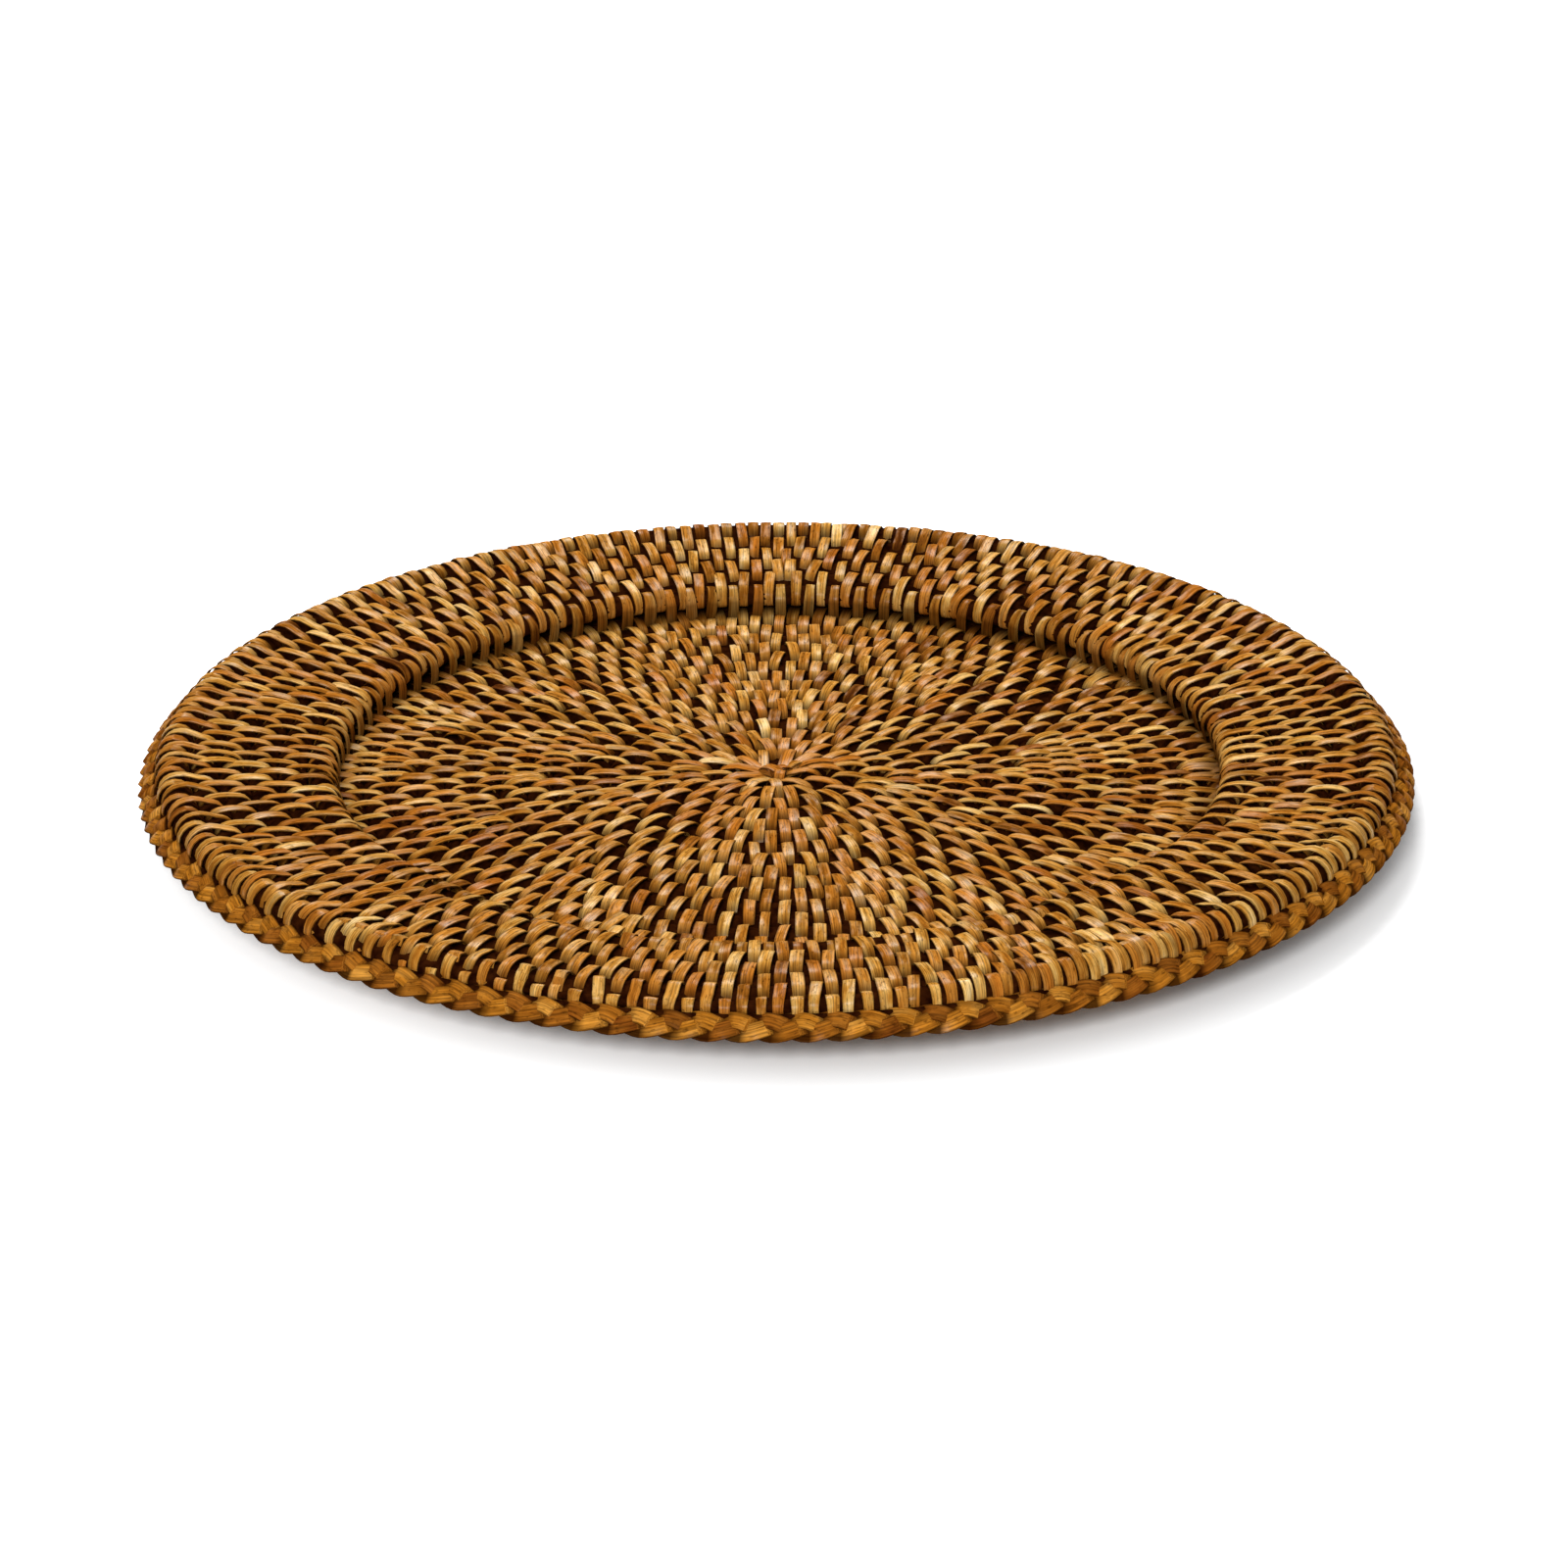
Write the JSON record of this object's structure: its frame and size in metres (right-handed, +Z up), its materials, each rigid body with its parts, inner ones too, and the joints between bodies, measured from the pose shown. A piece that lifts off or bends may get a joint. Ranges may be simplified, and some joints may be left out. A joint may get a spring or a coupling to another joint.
{
  "type": "rattan plate",
  "caption": "Round coiled rattan plate with a flat recessed well, a raised bead, a wide flange and a plaited border under the rim.",
  "frame": {"origin": "on the table, under the pole of the coil", "axes": "+Z up through the well, out of the eating side; the cane winds clockwise outward as seen from +Z; the climb to the bead is at 225 degrees from +X"},
  "size_m": [0.33, 0.33, 0.0184],
  "materials": {
    "bound_cane": "lacquered honey-brown split rattan over round cane",
    "border_strip": "glossy lacquered orange-brown plaited rattan strip"
  },
  "bodies": {
    "root": {"centre_knot": "bound_cane", "well_cane_inner": "bound_cane", "well_cane_middle": "bound_cane", "well_cane_outer": "bound_cane", "bead_cane": "bound_cane", "flange_cane": "bound_cane", "rim_cane": "bound_cane", "plaited_border": "border_strip"}
  },
  "joints": []
}
